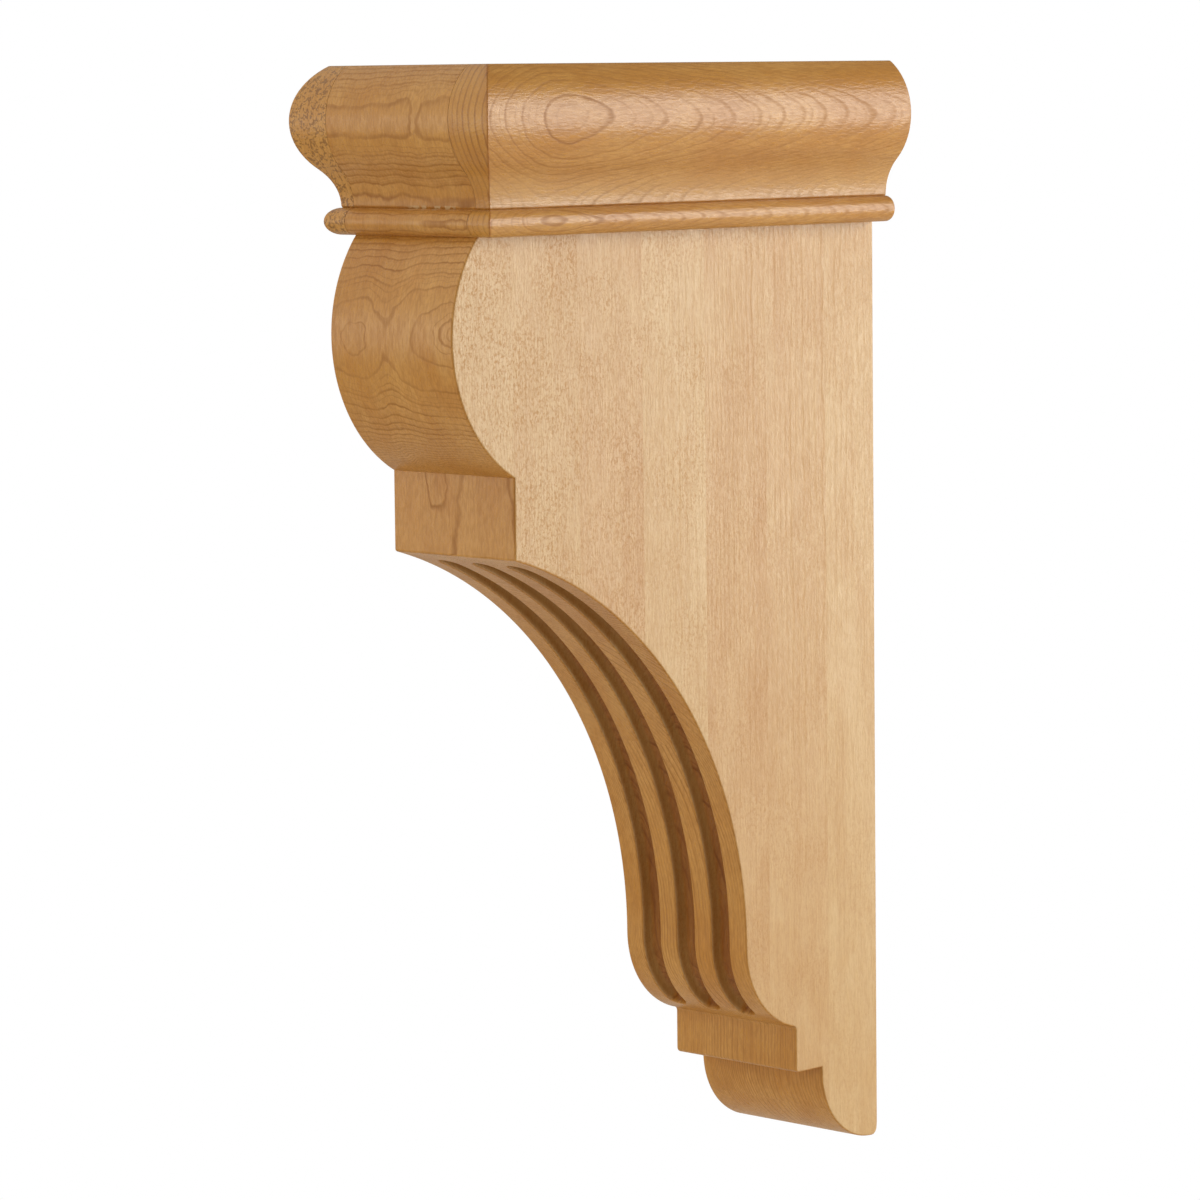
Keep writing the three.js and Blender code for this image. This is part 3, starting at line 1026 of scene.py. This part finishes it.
class CORBEL_OT_crown(bpy.types.Operator):
    """Model the two side boards of the crown in the places of their solids"""

    bl_idname = "corbel.crown"
    bl_label = "Run Crown Boards"

    def execute(self, context):
        settings = context.scene.corbel
        inner = BODY_BOX[1].x + settings.crown.glue_line
        for side, hand in (("right", 1), ("left", -1)):
            bm = board_mesh(settings.body, settings.crown)
            ease_edges(bm, lambda middle: abs(middle.x - inner) < TOUCH, lambda middle: True)
            bmesh.ops.scale(bm, vec=(hand, 1, 1), verts=bm.verts[:])
            bmesh.ops.recalc_face_normals(bm, faces=bm.faces[:])
            piece = new_piece(f"crown_board_{side}", bm)
            round_edges(piece, settings.body.arris)
            settle(piece)
            finish_piece(piece, f"crown_{side}", maple_shop(settings)["Crown maple"])
        return {"FINISHED"}


class CORBEL_OT_studio(bpy.types.Operator):
    """Lay the floor, set the lights and place the camera"""

    bl_idname = "corbel.studio"
    bl_label = "Set Studio"

    def execute(self, context):
        studio = context.scene.corbel.studio
        context.scene.view_settings.view_transform = "Standard"
        lay_floor(studio)
        light_sky(context.scene, studio)
        middle = (BODY_BOX[0] + BODY_BOX[1]) / 2
        softbox("Key softbox", middle, Vector(KEY_SIDE), KEY_DISTANCE, KEY_SIZE, studio.key)
        softbox("Fill softbox", middle, Vector(FILL_SIDE), FILL_DISTANCE, FILL_SIZE, studio.fill)
        place_camera(context.scene, studio.lens)
        return {"FINISHED"}


def camera_sees(net, lit, seen):
    """Shows one shader to the camera only, and the other to everything else."""
    camera = net.node("ShaderNodeLightPath").outputs["Is Camera Ray"]
    return net.fill(net.node("ShaderNodeMixShader"), camera, lit.outputs[0], seen.outputs[0])[0]


def lay_floor(studio):
    """A wide pale floor, some way under the bracket, which the camera sees overexposed."""
    bm = bmesh.new()
    bmesh.ops.create_circle(bm, cap_ends=True, radius=FLOOR_RADIUS, segments=64)
    bmesh.ops.translate(bm, verts=bm.verts[:], vec=(0, 0, BODY_BOX[0].z - studio.floor_drop))
    floor = new_piece("floor", bm)
    material = bpy.data.materials.new("Pale floor")
    material.use_nodes = True
    net = Net(material.node_tree)
    shader = material.node_tree.nodes["Principled BSDF"]
    shader.inputs["Roughness"].default_value = 0.9
    grain = net.noise(net.node("ShaderNodeTexCoord").outputs["Object"], 3.0)
    net.feed(shader.inputs["Base Color"], net.mix(net.times(grain, 0.05), studio.floor, (1, 1, 1)))
    bright = net.node("ShaderNodeEmission")
    output = material.node_tree.nodes["Material Output"]
    net.feed(output.inputs["Surface"], camera_sees(net, shader, bright))
    floor.data.materials.append(material)


def light_sky(scene, studio):
    """Light from all round, strongest from the front left. The camera sees plain white."""
    world = bpy.data.worlds.new("Studio")
    world.use_nodes = True
    world.node_tree.nodes.clear()
    scene.world = world
    net = Net(world.node_tree)
    toward = net.vector("DOT_PRODUCT", net.node("ShaderNodeTexCoord").outputs["Generated"], FILL_SIDE)
    shown = net.node("ShaderNodeBackground")
    glow = net.node("ShaderNodeBackground")
    net.feed(glow.inputs["Strength"], net.remap(toward, *SKY_TURN, studio.dim_sky, studio.bright_sky))
    for background in (shown, glow):
        background.inputs["Color"].default_value = (1, 1, 1, 1)
    output = net.node("ShaderNodeOutputWorld")
    net.feed(output.inputs["Surface"], camera_sees(net, glow, shown))


def softbox(name, target, direction, distance, size, power):
    """A large soft light that faces the bracket from a direction."""
    light = bpy.data.lights.new(name, "AREA")
    light.shape = "RECTANGLE"
    light.size, light.size_y = size
    light.energy = power
    lamp = put(name, light)
    lamp.location = target + direction.normalized() * distance
    lamp.rotation_euler = direction.to_track_quat("Z", "Y").to_euler()


def place_camera(scene, lens):
    """The viewing angle of the photograph."""
    yaw, pitch, roll = (math.radians(angle) for angle in CAMERA_TURN)
    turn = Matrix.Rotation(yaw, 4, "Z") @ Matrix.Rotation(QUARTER + pitch, 4, "X")
    turn @= Matrix.Rotation(roll, 4, "Z")
    camera = bpy.data.cameras.new("Camera")
    camera.lens = lens
    camera.clip_end = FAR
    scene.camera = put("Camera", camera)
    scene.camera.matrix_world = Matrix.Translation(CAMERA_PLACE) @ turn


class CORBEL_PT_panel(bpy.types.Panel):
    """Lists the bracket's operators and sizes"""

    bl_idname = "CORBEL_PT_panel"
    bl_label = "Corbel Bracket"
    bl_space_type = "VIEW_3D"
    bl_region_type = "UI"
    bl_category = "Corbel"

    def draw(self, context):
        settings = context.scene.corbel
        for operator in OPERATORS:
            self.layout.operator(operator.bl_idname)
        for group in (settings.body, settings.crown, settings.maple, settings.studio):
            box = self.layout.box()
            for name in group.bl_rna.properties.keys():
                if name not in ("rna_type", "name"):
                    box.prop(group, name)


GROUPS = (BodySizes, CrownSizes, MapleFinish, StudioSettings, CorbelSettings)
OPERATORS = (CORBEL_OT_studio, CORBEL_OT_body, CORBEL_OT_crown)
CLASSES = GROUPS + OPERATORS + (CORBEL_PT_panel,)


def register():
    for cls in CLASSES:
        bpy.utils.register_class(cls)
    bpy.types.Scene.corbel = PointerProperty(type=CorbelSettings)


def unregister():
    del bpy.types.Scene.corbel
    for cls in reversed(CLASSES):
        bpy.utils.unregister_class(cls)


def main():
    register()
    bpy.ops.corbel.studio()
    bpy.ops.corbel.body()
    bpy.ops.corbel.crown()


if __name__ == "__main__":
    main()
